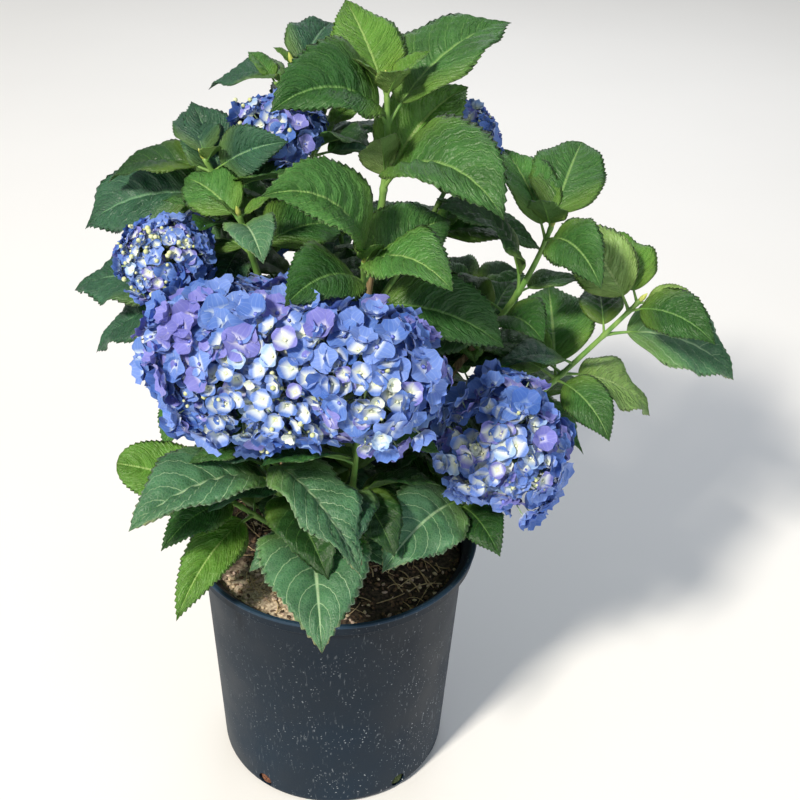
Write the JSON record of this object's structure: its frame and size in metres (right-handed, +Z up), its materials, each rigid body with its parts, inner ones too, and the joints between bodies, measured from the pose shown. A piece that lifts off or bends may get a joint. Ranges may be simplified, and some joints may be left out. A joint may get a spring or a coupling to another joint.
{
  "type": "potted hydrangea shrub",
  "caption": "Bushy mophead hydrangea with crossed pairs of toothed leaves and round blue flower heads, standing in a round dark nursery pot of compost.",
  "frame": {"origin": "centre of the pot's flat underside, on the surface that the pot stands on", "axes": "+Z up along the pot; -Y towards the side seen in the picture; +X to the right in that view"},
  "size_m": [0.5612, 0.4516, 0.7006],
  "materials": {
    "pot": "dark slate-blue moulded plastic, satin, with fine pale specks and scuffs",
    "compost": "gritty fibrous compost, dull brown with tan rootlets",
    "cane": "pale brown peeling bark on woody canes",
    "leaf": "mid green leaves, quilted between pale veins, satin above and duller below",
    "floret": "soft violet-blue sepals with cream centres"
  },
  "bodies": {
    "root": {"pot": "pot", "compost": "compost", "cane_top": "cane", "cane_top_left": "cane", "cane_left": "cane", "cane_mid_left": "cane", "cane_front_left": "cane", "cane_front": "cane", "cane_right_front": "cane", "cane_right_inner": "cane", "cane_right": "cane", "cane_back": "cane", "cane_rear_left": "cane", "cane_rear_right": "cane", "head_front_left": "floret", "head_front": "floret", "head_right": "floret", "head_left": "floret", "head_back_left": "floret", "head_back_right": "floret", "head_rear_left": "floret", "head_rear_right": "floret", "leaves_top_centre": "leaf", "leaves_front_centre": "leaf", "leaves_mid_left": "leaf", "leaves_left_back": "leaf", "leaves_right": "leaf", "leaves_right_inner": "leaf", "leaves_front_left_flower": "leaf", "leaves_right_flower": "leaf", "leaves_low_front": "leaf", "leaves_low_left": "leaf", "leaves_left_flower": "leaf", "leaves_front_flower": "leaf", "leaves_top_left": "leaf", "leaves_back_left_flower": "leaf", "leaves_back_right_flower": "leaf", "leaves_back_mid_left": "leaf", "leaves_back_mid_right": "leaf", "leaves_back_centre": "leaf", "leaves_rear_left_flower": "leaf", "leaves_rear_right_flower": "leaf", "leaves_back_left_low": "leaf", "leaves_back_right_low": "leaf", "leaves_rear_low": "leaf"}
  },
  "joints": []
}
